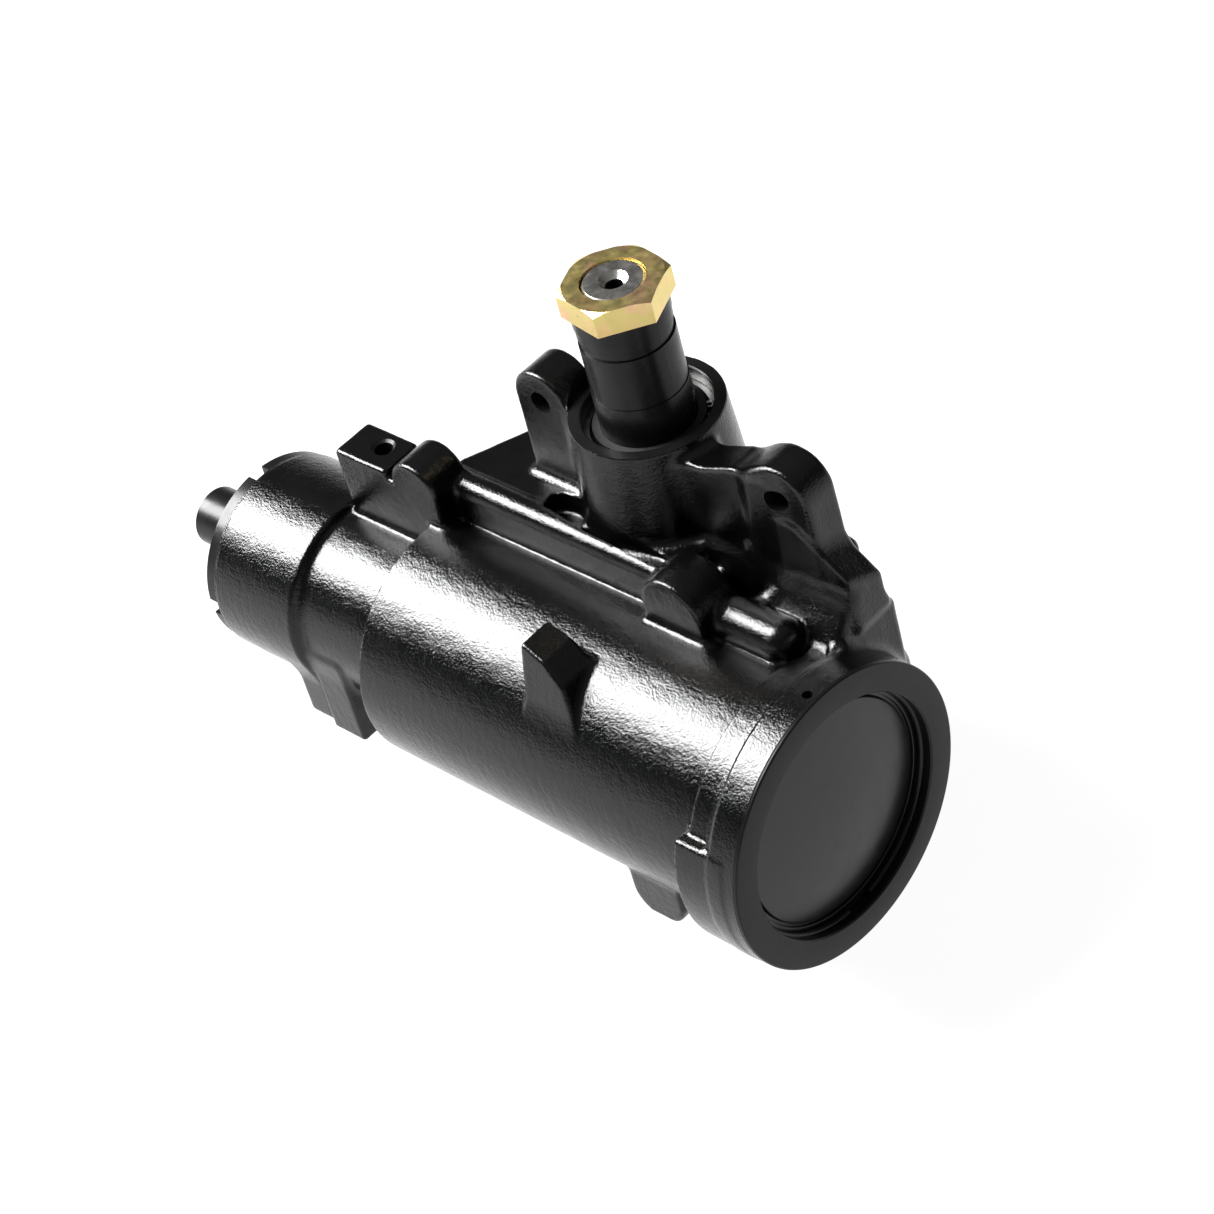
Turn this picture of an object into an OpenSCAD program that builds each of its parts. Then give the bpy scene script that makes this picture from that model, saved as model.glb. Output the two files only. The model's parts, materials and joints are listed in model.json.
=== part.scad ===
// Recirculating-ball steering gearbox: a worm drives a hydraulic rack-piston, and the
// rack swings a toothed sector shaft that stands at right angles to the worm.
// The origin is on the sector shaft's axis, at the foot of the arm seat. +Z runs up the
// shaft to its nut, and +X runs along the worm from the input stub to the end plug.

/* [Layout] */
// Distance between the worm axis and the sector shaft axis
axis_offset = 50; // [49:0.5:51]
// Height of the arm seat above the worm axis
seat_h = 106; // [104:1:108]
// Casting wall around the sector chamber
chamber_wall = 14; // [12:1:15]

/* [Barrel] */
// Radius of the piston bore
bore_r = 40; // [39.9:0.1:40.2]
// Outer radius of the barrel
barrel_r = 46.4; // [45.8:0.2:47]
// Outer radius of the end flange
flange_r = 53.5; // [52:0.5:55]
// Radius of the bore mouth that holds the end plug
mouth_r = 43; // [42.8:0.1:43.4]
// Outer radius of the casting between barrel and valve section
neck_r = 34; // [33:0.5:35]
// Outer radius of the valve section
valve_case_r = 37.3; // [36.8:0.1:38]
// Radius of the valve bore
valve_bore_r = 27; // [26.9:0.1:27.2]

/* [Rack and sector] */
// Teeth that a full sector wheel would have
full_teeth = 12; // [12:1:12]
// Teeth that the sector really has
sector_teeth = 5; // [3:2:5]
// Pitch radius of the sector
pitch_r = 26; // [25.5:0.1:26.5]
// Pressure angle of rack and sector in degrees
pressure_deg = 25; // [24:0.5:26]
// Half of the width of the sector
sector_half_w = 19; // [16:1:20]
// Gap between the flanks of rack and sector, measured along the pitch line
backlash = 0.3; // [0.2:0.05:0.5]

/* [Worm] */
// Advance of the worm groove in one turn
lead = 12; // [11.9:0.1:12.2]
// Radius of the circle on which the ball centres run
ball_track_r = 12; // [11.9:0.1:12.1]
// Radius of one ball
ball_r = 3; // [2.9:0.05:3]
// Number of balls in the circuit inside the piston
ball_count = 36; // [30:1:36]

/* [Shafts] */
// Radius of the sector shaft where it runs in its bearing
shaft_r = 16.6; // [16.5:0.05:16.7]
// Radius of the arm seat on the sector shaft
seat_r = 16.3; // [16.2:0.05:16.35]
// Length of the arm seat
seat_len = 20; // [16:1:21]
// Radius of the threaded end of the sector shaft
thread_r = 11.1; // [10.9:0.05:11.3]
// Width across the flats of the shaft nut
nut_af = 33.3; // [32:0.1:34]
// Radius of the input stub outside the casting
stub_r = 11.35; // [11.2:0.05:11.4]
// Radius of the input stub where it runs in its bearing
stub_journal_r = 11.6; // [11.55:0.05:11.65]
// Length of the input stub outside the casting
stub_out = 37; // [30:1:45]

/* [Sector boss] */
// Outer radius of the sector boss at its top
boss_r = 26.9; // [26.5:0.1:28]
// Height of the boss top above the worm axis
boss_top = 94.5; // [94:0.5:95]
// Radius of the seal pocket in the boss
pocket_r = 22.5; // [22.2:0.1:22.8]

/* [Mounting] */
// Radius of the arch of a mounting ear
ear_r = 12; // [11:0.5:13]
// Radius of a tapped hole in an ear
ear_hole_r = 4.25; // [4:0.05:5]
// Distance between the tapped holes of the two ears
ear_spacing = 104.6; // [104:0.2:105]
// Height of the ear holes above the worm axis
ear_h = 92.6; // [92:0.2:93]
// Radius of a hydraulic port
port_r = 8; // [7:0.25:8.5]

/* [Hidden] */
$fn = 96;

worm_y = -axis_offset;
eps = 0.01;

// Stations along the worm axis
case_x0 = -161.4;
plug_thread_x1 = -138;
valve_x1 = -79.6;
bore_x0 = -62;
mouth_x0 = 92;
end_x = 106.4;
ring_groove_x = 101.9;
barrel_x0 = -75;
barrel_x1 = 90;
stub_x0 = case_x0 - 4.5 - stub_out;

// Levels along the sector shaft axis, above the worm axis
cover_z = -50;
chamber_top = 24;
plate_z = 58;
deck_foot_z = 38;
recess_z = 41;
channel_z = 51.5;
bearing_z0 = 29;
pocket_z0 = 64;
shaft_end_z = 147.5;
thread_z0 = 134;
nut_z0 = 138.6;

// Hydraulic ports, on the pad behind the valve section
PORT_X = [-123.5, -101.5];
port_z = -16;
port_face_y = -8;
port_depth = 10;
port_seat_y = -24;

// Faces of the mounting ears, and the point midway between their holes
ear_mid_x = 16;
ear_front_y = -13.5;
ear_back_y = 1.1;

chamber_r = 38;
chamber_out_r = chamber_r + chamber_wall;

// Rack and sector proportions
module_mm = 2 * pitch_r / full_teeth;
tooth_pitch = PI * module_mm;
tip_r = pitch_r + module_mm;
root_r = pitch_r - 1.25 * module_mm;
base_r = pitch_r * cos(pressure_deg);

// Side cover bolts: [distance from the sector axis, angle]
COVER_BOLTS = [[52.5, 42], [52.5, 138], [46, 225], [46, 315]];
bolt_r = 5;

black = [0.03, 0.03, 0.03];
satin = [0.09, 0.09, 0.095];
steel = [0.72, 0.72, 0.70];
ground = [0.55, 0.56, 0.58];
zinc = [0.80, 0.66, 0.33];
rubber = [0.05, 0.05, 0.05];
brass = [0.78, 0.62, 0.30];

// Moves the worm-axis level down so that the arm seat is at the origin
module in_frame() {
    translate([0, 0, -seat_h]) children();
}

// Cylinder about the worm axis
module xcyl(x0, x1, r) {
    translate([x0, worm_y, 0]) rotate([0, 90, 0]) cylinder(h = x1 - x0, r = r);
}

// Cone about the worm axis
module xcone(x0, x1, r0, r1) {
    translate([x0, worm_y, 0]) rotate([0, 90, 0]) cylinder(h = x1 - x0, r1 = r0, r2 = r1);
}

// Ring about the worm axis
module xring(x0, x1, r_out, r_in) {
    difference() {
        xcyl(x0, x1, r_out);
        xcyl(x0 - 1, x1 + 1, r_in);
    }
}

// Cylinder about the sector axis
module zcyl(z0, z1, r) {
    translate([0, 0, z0]) cylinder(h = z1 - z0, r = r);
}

// Ring about the sector axis
module zring(z0, z1, r_out, r_in) {
    difference() {
        zcyl(z0, z1, r_out);
        zcyl(z0 - 1, z1 + 1, r_in);
    }
}

// Cylinder that runs along Y
module ycyl(x, z, y0, y1, r) {
    translate([x, y0, z]) rotate([-90, 0, 0]) cylinder(h = y1 - y0, r = r);
}

// Round wire ring about the worm axis
module xtorus(x, r, wire_r, sweep = 360) {
    translate([x, worm_y, 0]) rotate([0, 90, 0])
        rotate([0, 0, 180 - sweep / 2])
            rotate_extrude(angle = sweep) translate([r, 0]) circle(r = wire_r, $fn = 32);
}

// Vertical plate with an arched top, its faces square to Y
module ear(x, z, r, y0, y1, z_foot) {
    ycyl(x, z, y0, y1, r);
    translate([x - r, y0, z_foot]) cube([2 * r, y1 - y0, z - z_foot]);
}

// Hexagonal prism about a vertical axis, with its upper corners turned off
module hex_prism(af, h, chamfer) {
    corner = af / cos(30) / 2;
    intersection() {
        cylinder(h = h, r = corner, $fn = 6);
        union() {
            cylinder(h = h - chamfer, r = corner + 1);
            translate([0, 0, h - chamfer])
                cylinder(h = chamfer, r1 = corner + 0.3, r2 = corner + 0.3 - 1.9 * chamfer);
        }
    }
}

// ---- Casting -------------------------------------------------------------------------

// Outline of the cover flange and of the foot of the sector chamber
module cover_outline(grow = 0) {
    circle(r = chamber_out_r - 2 + grow);
    for (b = COVER_BOLTS) {
        rotate(b[1]) {
            translate([b[0], 0]) circle(r = 13 + grow, $fn = 48);
            translate([0, -13 - grow]) square([b[0], 26 + 2 * grow]);
        }
    }
}

// Deck of the casting that carries the sector boss and the mounting ears
module deck() {
    translate([0, 0, deck_foot_z]) linear_extrude(plate_z - deck_foot_z)
        polygon([[-80, -34], [-78, -22.6], [-67.2, 0.4], [-56, 20], [-38, 36], [-14, 39],
                 [2, 28], [24, 20], [50, 16], [70, 6], [81, -2], [83, -15], [30, -15.5],
                 [26, -34]]);
    // Wall under the right ear
    translate([0, 0, 10]) linear_extrude(34)
        polygon([[54, 14], [72, 8], [86, -4], [89, -20], [56, -22]]);
    // Flank between the right ear and the end flange
    translate([61, 0, 0]) rotate([90, 0, 90]) linear_extrude(31.5)
        polygon([[-31, 0], [-31, 39], [-15.5, 59.5], [-12, 61], [5, 45], [5, 0]]);
}

// Channel between the oil gallery rib and the boss, with the pocket at its left end
module deck_channel() {
    translate([0, 0, channel_z]) linear_extrude(20)
        polygon([[-54, -24.4], [-36, -26], [-36, -22], [-32, -19.3], [-14, -17], [26.5, -17],
                 [26.5, -31.5], [-12, -31], [-31, -29.6]]);
}

// Cast lug on top of the barrel: its front face leans back and its top falls towards +X
module barrel_lug() {
    intersection() {
        translate([0, -60, 0]) rotate([90, 0, 0]) linear_extrude(27)
            polygon([[3, 20], [2.5, 53.8], [21, 48.2], [26.3, 30], [26.3, 20]]);
        rotate([90, 0, 90]) linear_extrude(40)
            polygon([[-86.8, 24], [-79.3, 55], [-66, 55], [-60, 38], [-60, 24]]);
    }
}

module valve_section() {
    xcyl(case_x0, -120, valve_case_r);
    xcone(-120, -116, valve_case_r, neck_r);
    xcyl(-116, -70, neck_r);
    // Foot under the neck
    translate([-133, -84, -41]) cube([31, 34, 38]);
    // Pad for the hydraulic ports, on the side away from the sector boss
    translate([-137.5, worm_y, -31]) cube([50, port_face_y - worm_y, 30]);
}

module bracket_boss() {
    translate([-118.5, -45.6, 10]) cube([23.5, 17.6, 52.5]);
    translate([-96, -45.6, 10]) cube([10, 15.6, 45]);
    ear(-79, 59.5, 11, -45.6, -29, 10);
}

module oil_gallery_rib() {
    translate([-76, -31.5, 53.5]) rotate([0, 90, 0]) cylinder(h = 106, r = 7.5);
    translate([-76, -39, 36]) cube([106, 15, 17.5]);
    translate([28, -32, 46]) rotate([0, 90, 0]) cylinder(h = 52, r = 9.5);
}

module end_flange() {
    xcyl(81, 94, 49.6);
    xcyl(91, 95, 51.6);
    xcyl(93.8, end_x, flange_r);
    // Thicker lower half of the flange
    intersection() {
        xcyl(79.6, 95, flange_r);
        translate([70, -120, -60]) cube([30, 80, 80.5]);
    }
}

module sector_case() {
    zcyl(cover_z, 30, chamber_out_r - 2);
    // The upper part stops short of the barrel's top
    intersection() {
        zcyl(20, recess_z, chamber_out_r - 6);
        translate([-60, -39, 10]) cube([120, 110, 50]);
    }
    translate([0, 0, cover_z]) linear_extrude(14) cover_outline();
    // Bolt towers on the open side
    for (side = [0, 1]) {
        rotate(COVER_BOLTS[side][1]) {
            translate([52.5, 0, cover_z + 2]) cylinder(h = 39, r = 13);
            translate([52.5, 0, cover_z + 2]) cylinder(h = 50, r = 10.5);
            translate([50, 0, cover_z + 2]) cylinder(h = 69, r = 8);
            translate([41, -13, cover_z + 2]) cube([11.5, 26, 39]);
        }
    }
    // Sector boss, slightly tapered
    translate([0, 0, 50]) cylinder(h = boss_top - 50, r1 = boss_r + 2.2, r2 = boss_r);
    // Web from the boss to the right ear
    translate([20, -9, 50]) cube([42, 10, 40]);
}

module mounting_ears() {
    ear(ear_mid_x - ear_spacing / 2, ear_h, ear_r, ear_front_y - 0.9, ear_back_y, 50);
    ear(ear_mid_x + ear_spacing / 2, ear_h, ear_r, ear_front_y, ear_back_y, 50);
    // Foot of the right ear
    translate([0, ear_back_y, 0]) rotate([90, 0, 0]) linear_extrude(ear_back_y - ear_front_y)
        polygon([[70, 50], [70, 78], [80.3, 78], [91.5, 67], [92, 50]]);
}

module bores() {
    xcyl(bore_x0, mouth_x0 + eps, bore_r);
    xcyl(mouth_x0, end_x + 1, mouth_r);
    xcone(end_x - 0.8, end_x + 0.2, mouth_r, mouth_r + 1);
    xcyl(ring_groove_x - 1.2, ring_groove_x + 1.2, mouth_r + 1.5);
    xcyl(valve_x1 - 2, bore_x0 + 2, 12.6);
    xcyl(plug_thread_x1 - eps, valve_x1, valve_bore_r);
    xcyl(case_x0 - 1, plug_thread_x1, 30.2);
    zcyl(cover_z - 1, chamber_top, chamber_r);
    zcyl(chamber_top - 1, pocket_z0 + eps, 21);
    zcyl(pocket_z0, boss_top + 1, pocket_r);
    zcyl(87.5, 89.3, pocket_r + 1.7);
    // Ejector hole for the end plug's ring
    translate([ring_groove_x, worm_y, 40]) cylinder(h = 20, r = 1.75);
}

module housing_holes() {
    // Tapped ears
    for (side = [-1, 1]) ycyl(ear_mid_x + side * ear_spacing / 2, ear_h, -20, 8, ear_hole_r);
    // Tapped hole of the bracket boss
    translate([-103, -35.7, 48.5]) cylinder(h = 20, r = 3.4);
    // Hydraulic ports and their drillings into the valve bore
    for (x = PORT_X) {
        ycyl(x, port_z, port_face_y - port_depth, port_face_y + 1, port_r);
        ycyl(x, port_z, port_seat_y, port_face_y - port_depth + eps, port_r - 1.8);
        ycyl(x, port_z, -40, port_seat_y + eps, 3);
    }
    // Tapped holes of the cover bolts
    for (b = COVER_BOLTS)
        rotate(b[1]) translate([b[0], 0, cover_z - 1]) cylinder(h = b[0] > 50 ? 26 : 12, r = bolt_r);
}

module housing() {
    color(black) in_frame() difference() {
        union() {
            xcyl(barrel_x0, barrel_x1, barrel_r);
            difference() {
                union() {
                    deck();
                    oil_gallery_rib();
                }
                deck_channel();
            }
            valve_section();
            end_flange();
            sector_case();
            mounting_ears();
            bracket_boss();
            // Cast boss above the rib
            ear(38.5, 53.5, 13.5, -44, -26, 36);
            barrel_lug();
            // Lower foot under the barrel
            ear_down(42.5, -41, 11.5, -85, -70, -20);
        }
        bores();
        housing_holes();
    }
}

// Ear that hangs down instead of standing up
module ear_down(x, z, r, y0, y1, z_top) {
    ycyl(x, z, y0, y1, r);
    translate([x - r, y0, z]) cube([2 * r, y1 - y0, z_top - z]);
}

// ---- End plug ------------------------------------------------------------------------

module end_plug() {
    dome = [for (i = [0:12]) let (r = 39 * cos(90 * i / 12)) [r, 100.6 + 3.6 * (1 - pow(r / 39, 2))]];
    color(satin) in_frame() translate([0, worm_y, 0]) rotate([0, 90, 0]) rotate_extrude()
        polygon(concat(
            [[0, 96.4], [33, 96.4], [35, 92.4], [mouth_r - 0.15, 92.4], [mouth_r - 0.15, 94.6],
             [40.2, 94.6], [40.2, 98], [mouth_r - 0.15, 98], [mouth_r - 0.15, 100.6]],
            dome));
}

module end_plug_seal() {
    color(rubber) in_frame() xtorus(96.3, 41.58, 1.36);
}

module end_plug_retaining_ring() {
    color(satin) in_frame() xtorus(ring_groove_x, 43.2, 1.15, 346);
}

// ---- Side cover ----------------------------------------------------------------------

module side_cover() {
    color(black) in_frame() difference() {
        union() {
            translate([0, 0, cover_z - 10]) linear_extrude(9.2) cover_outline();
            zcyl(cover_z - 0.8 - eps, -22, 20);
            zcyl(cover_z - 16, cover_z - 9, 17);
        }
        zcyl(-47, -21, 15);
        zcyl(cover_z - 20, -40, 6.1);
        for (b = COVER_BOLTS)
            rotate(b[1]) translate([b[0], 0, cover_z - 12]) cylinder(h = 14, r = bolt_r + 0.4);
    }
}

module side_cover_gasket() {
    color(rubber) in_frame() translate([0, 0, cover_z - 0.75]) linear_extrude(0.7)
        difference() {
            cover_outline(-0.3);
            circle(r = chamber_r + 1);
            for (b = COVER_BOLTS)
                rotate(b[1]) translate([b[0], 0]) circle(r = bolt_r + 0.4);
        }
}

module cover_bolt(grip) {
    cylinder(h = grip, r = bolt_r - 0.15);
    translate([0, 0, -1.6]) cylinder(h = 1.6, r = 9.6);
    translate([0, 0, -1.6]) mirror([0, 0, 1]) hex_prism(15, 7, 0.9);
}

module side_cover_bolts() {
    color(satin) in_frame() for (b = COVER_BOLTS)
        rotate(b[1]) translate([b[0], 0, cover_z - 10.05]) cover_bolt(b[0] > 50 ? 30 : 20);
}

module side_cover_bushing() {
    color(brass) in_frame() zring(-46, -23, 14.98, 13.05);
}

module preload_adjuster_screw() {
    color(steel) in_frame() difference() {
        union() {
            zcyl(-39.6, -36.6, 8.4);
            zcyl(cover_z - 27, -39.5, 6);
        }
        // Hexagon socket in the free end
        translate([0, 0, cover_z - 28]) cylinder(h = 7, r = 3.4, $fn = 6);
    }
}

module adjuster_lock_nut() {
    color(zinc) in_frame() translate([0, 0, cover_z - 16.05]) mirror([0, 0, 1])
        difference() {
            hex_prism(22, 7, 1.1);
            translate([0, 0, -1]) cylinder(h = 9, r = 6.05);
        }
}

// ---- Sector shaft --------------------------------------------------------------------

// Angle by which an involute has turned at radius r, in degrees
function involute_deg(r) = let (t = sqrt(pow(r / base_r, 2) - 1)) t * 180 / PI - atan(t);

// Half of a sector tooth's angle at radius r
function half_tooth_deg(r) = (tooth_pitch / 2 - backlash) / 2 / pitch_r * 180 / PI
    + involute_deg(pitch_r) - involute_deg(r);

flank_steps = 8;

// Outline of one tooth that points along -Y
module sector_tooth() {
    radii = [for (i = [0:flank_steps]) base_r + (tip_r - base_r) * i / flank_steps];
    left = [for (r = radii) let (a = 270 - half_tooth_deg(r)) r * [cos(a), sin(a)]];
    right = [for (i = [flank_steps:-1:0])
        let (r = radii[i], a = 270 + half_tooth_deg(r)) r * [cos(a), sin(a)]];
    foot_a = half_tooth_deg(base_r);
    polygon(concat(
        [(root_r - 1) * [cos(270 - foot_a), sin(270 - foot_a)]], left, right,
        [(root_r - 1) * [cos(270 + foot_a), sin(270 + foot_a)]]));
}

module sector_shaft() {
    reach = (sector_teeth - 1) / 2;
    color(satin) in_frame() difference() {
        union() {
            translate([0, 0, -sector_half_w]) linear_extrude(2 * sector_half_w) {
                circle(r = root_r);
                for (k = [-reach:reach]) rotate(k * 360 / full_teeth) sector_tooth();
            }
            zcyl(-46, -sector_half_w + 1, 13);
            zcyl(sector_half_w - 1, seat_h, shaft_r);
            zcyl(seat_h - 1, seat_h + seat_len, seat_r);
            zcyl(seat_h + seat_len - 1, 130, seat_r - 0.6);
            zcyl(129.6, thread_z0, seat_r - 0.1);
            zcyl(thread_z0 - 1, shaft_end_z - 1.2, thread_r);
            translate([0, 0, shaft_end_z - 1.3]) cylinder(h = 1.3, r1 = thread_r, r2 = thread_r - 1.1);
        }
        // Slot that holds the head of the preload adjuster
        zcyl(-40, -36, 8.9);
        zcyl(-47, -39, 6.6);
        // Tapped centre hole with its countersink
        zcyl(shaft_end_z - 16, shaft_end_z + 1, 3);
        translate([0, 0, shaft_end_z - 2.2]) cylinder(h = 2.3, r1 = 3, r2 = 5.2);
    }
}

module shaft_nut() {
    color(zinc) in_frame() translate([0, 0, nut_z0]) rotate(-8) difference() {
        hex_prism(nut_af, 9.2, 1.3);
        translate([0, 0, -1]) cylinder(h = 12, r = thread_r + 0.08);
    }
}

module shaft_lock_washer() {
    color(rubber) in_frame() difference() {
        zring(thread_z0 + 0.1, nut_z0 - 0.05, 16.6, thread_r + 0.5);
        rotate(140) translate([10, -0.8, thread_z0 - 1]) cube([10, 1.6, 8]);
    }
}

module sector_needle_bearing() {
    color(ground) in_frame() zring(bearing_z0, 61, 20.98, shaft_r + 0.06);
}

module sector_pressure_seal() {
    color(rubber) in_frame() zring(66, 73.4, pocket_r - 0.03, shaft_r + 0.06);
}

module sector_backup_washer() {
    color(steel) in_frame() zring(73.8, 75.2, pocket_r - 0.1, shaft_r + 0.4);
}

module sector_dust_seal() {
    color(rubber) in_frame() {
        zring(75.6, 86.6, pocket_r - 0.03, shaft_r + 0.06);
        zring(86.5, 90.6, 19.4, shaft_r + 0.06);
    }
}

module sector_retaining_ring() {
    color(satin) in_frame() difference() {
        union() {
            zring(87.7, 89.1, pocket_r + 1.5, 20.6);
            for (side = [-1, 1]) rotate(40 + side * 9) translate([20.4, 0, 87.7]) cylinder(h = 1.4, r = 2);
        }
        rotate(40) translate([15, -1.6, 87]) cube([12, 3.2, 3]);
        for (side = [-1, 1]) rotate(40 + side * 9) translate([20.2, 0, 87]) cylinder(h = 3, r = 0.8);
        zcyl(87, 90, 19.5);
    }
}

// ---- Rack-piston ---------------------------------------------------------------------

piston_x0 = -42;
piston_x1 = 62;
rack_tip_y = worm_y + (axis_offset - pitch_r) + module_mm;
rack_root_y = worm_y + (axis_offset - pitch_r) - 1.25 * module_mm;
track_x0 = -28;
track_x1 = 16;

// Space between two rack teeth, drawn in the plane of the two axes
module rack_space() {
    flare = tan(pressure_deg);
    half = tooth_pitch / 4;
    tip_half = half + (rack_tip_y + pitch_r) * flare;
    root_half = half + (rack_root_y + pitch_r) * flare;
    polygon([[-root_half, rack_root_y], [-tip_half - flare, rack_tip_y + 1],
             [tip_half + flare, rack_tip_y + 1], [root_half, rack_root_y]]);
}

module rack_piston() {
    reach = (sector_teeth - 1) / 2;
    color(ground) in_frame() difference() {
        xcyl(piston_x0, piston_x1, bore_r - 0.07);
        // Flat that the rack teeth are cut into
        translate([piston_x0 - 1, rack_tip_y, -45]) cube([piston_x0 * -1 + 47, 40, 90]);
        for (k = [-reach:reach])
            translate([k * tooth_pitch, 0, -30]) linear_extrude(60) rack_space();
        // Bore for the worm, ball track and plug seat
        xcyl(piston_x0 - 1, 52, 12.3);
        xcyl(track_x0, track_x1, ball_track_r + ball_r + 0.2);
        xcyl(51, piston_x1 + 1, 14);
        // Groove for the piston ring
        difference() {
            xcyl(53, 56, bore_r + 1);
            xcyl(52, 57, 37);
        }
        // Pocket for the ball return guide
        translate([-27, worm_y - 45, -9]) cube([42, 18, 18]);
        for (x = [-21, 9]) ycyl(x, 0, worm_y - 28, worm_y - 10, 3.9);
        for (x = [-24, 12]) ycyl(x, 6, worm_y - 34, worm_y - 20, 1.6);
    }
}

module piston_ring() {
    color(rubber) in_frame() xring(53.1, 55.9, bore_r - 0.04, 37.2);
}

module rack_piston_plug() {
    color(steel) in_frame() difference() {
        xcyl(52.1, 61, 13.95);
        translate([55, worm_y, 0]) rotate([0, 90, 0]) cylinder(h = 7, r = 5.6, $fn = 6);
    }
}

// Point on the ball track after t turns, seen from the track's start
function track_point(t, r) = [track_x0 + 3.4 + lead * t, worm_y + r * cos(360 * t), r * sin(360 * t)];

turn_length = sqrt(pow(2 * PI * ball_track_r, 2) + pow(lead, 2));

module recirculating_balls() {
    step = (2 * ball_r + 0.35) / turn_length;
    color(steel) in_frame() for (i = [0:ball_count - 1])
        translate(track_point(i * step, ball_track_r)) sphere(r = ball_r, $fn = 24);
}

module ball_return_guide() {
    color(steel) in_frame() difference() {
        union() {
            for (x = [-21, 9]) ycyl(x, 0, worm_y - 31, worm_y - 16.4, 3.7);
            translate([-21, worm_y - 31, 0]) rotate([0, 90, 0]) cylinder(h = 30, r = 3.7);
            for (x = [-21, 9]) translate([x, worm_y - 31, 0]) sphere(r = 3.7, $fn = 48);
        }
        for (x = [-21, 9]) ycyl(x, 0, worm_y - 31, worm_y - 10, 3.1);
        translate([-21, worm_y - 31, 0]) rotate([0, 90, 0]) cylinder(h = 30, r = 3.1);
    }
}

module ball_guide_clamp() {
    color(steel) in_frame() difference() {
        translate([-26.5, worm_y - 36.2, -8]) cube([41, 1.4, 16]);
        for (x = [-24, 12]) ycyl(x, 6, worm_y - 38, worm_y - 30, 1.7);
    }
}

module ball_guide_screws() {
    color(satin) in_frame() for (x = [-24, 12]) {
        ycyl(x, 6, worm_y - 36.3, worm_y - 22, 1.5);
        ycyl(x, 6, worm_y - 37.6, worm_y - 36.25, 2.6);
    }
}

// ---- Worm and valve ------------------------------------------------------------------

worm_x0 = -58;
worm_x1 = 33;
land_steps = 24;

// Raised land between two turns of the ball groove, as a swept trapezium
module worm_land() {
    foot = 8.4;
    crest = 11.4;
    half_foot = lead / 2 - 2.6;
    half_crest = lead / 2 - 3.45;
    section = [[-half_foot, foot], [-half_crest, crest], [half_crest, crest], [half_foot, foot]];
    turns = (worm_x1 - worm_x0 - lead) / lead;
    count = floor(turns * land_steps);
    start = (worm_x0 + lead / 2 - track_x0 - 3.4) / lead - 0.5;
    rings = [for (i = [0:count]) for (s = section)
        let (t = start + i / land_steps, p = track_point(t, s[1])) [p[0] + lead / 2 + s[0], p[1], p[2]]];
    sides = [for (i = [0:count - 1]) for (k = [0:3])
        let (a = 4 * i + k, b = 4 * i + (k + 1) % 4) [a, b, b + 4, a + 4]];
    polyhedron(concat(rings), concat([[3, 2, 1, 0]], sides, [[for (k = [0:3]) 4 * count + k]]));
}

module worm() {
    color(steel) in_frame() difference() {
        union() {
            xcyl(-84, worm_x1, 8.7);
            xcyl(-84, -62, 12.3);
            xcyl(-90, -84 + eps, 20);
            xcyl(-100, -90 + eps, 17);
            worm_land();
        }
        xcyl(-101, -60, 3.5);
        translate([-72, worm_y, -20]) cylinder(h = 40, r = 1.55);
    }
}

module torsion_bar() {
    color(ground) in_frame() difference() {
        union() {
            xcyl(-186, -172, 3.45);
            xcyl(-172 - eps, -80, 2.6);
            xcyl(-80 - eps, -62, 3.45);
        }
        translate([-72, worm_y, -20]) cylinder(h = 40, r = 1.55);
    }
}

module worm_pin() {
    color(steel) in_frame() translate([-72, worm_y, -12]) cylinder(h = 24, r = 1.5);
}

module valve_body() {
    color(ground) in_frame() difference() {
        xcyl(-133, -92, valve_bore_r - 0.07);
        xcyl(-134, -91, 17.2);
        for (x = [-129, -118, -107, -96]) xring(x - 1.25, x + 1.25, valve_bore_r + 1, 25);
        for (x = [-123.5, -112.5, -101.5]) xring(x - 1.8, x + 1.8, valve_bore_r + 1, 24.4);
        // Drillings through the sleeve
        for (x = [-123.5, -112.5], a = [0:90:270])
            translate([x, worm_y, 0]) rotate([a, 0, 0]) translate([0, 0, 14]) cylinder(h = 14, r = 1.6);
    }
}

module valve_body_rings() {
    color(rubber) in_frame() for (x = [-129, -118, -107, -96])
        xring(x - 1.15, x + 1.15, valve_bore_r - 0.04, 25.1);
}

module spool_valve() {
    color(steel) in_frame() difference() {
        xcyl(-131, -101.5, 17.13);
        xcyl(-132, -100, stub_journal_r + 0.04);
        for (x = [-123.5, -112.5]) xring(x - 1.8, x + 1.8, 19, 15.6);
    }
}

module stub_shaft() {
    color(satin) in_frame() difference() {
        union() {
            xcyl(stub_x0 + 1.2, -165, stub_r);
            xcyl(-165.9, -102, stub_journal_r);
            xcone(stub_x0, stub_x0 + 1.2, stub_r - 1.2, stub_r);
        }
        xcyl(-187, -101, 3.6);
    }
}

module lower_thrust_bearing() {
    color(ground) in_frame() {
        xring(-83.8, -82.9, 24, 13.2);
        xring(-82.8, -80.8, 23, 14.2);
        xring(-80.7, -79.8, 24, 13.2);
    }
}

module upper_thrust_bearing() {
    color(ground) in_frame() {
        xring(-137.9, -137, 25, 12.4);
        xring(-136.9, -134.9, 24, 13.4);
        xring(-134.8, -133.9, 25, 12.4);
    }
}

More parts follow.
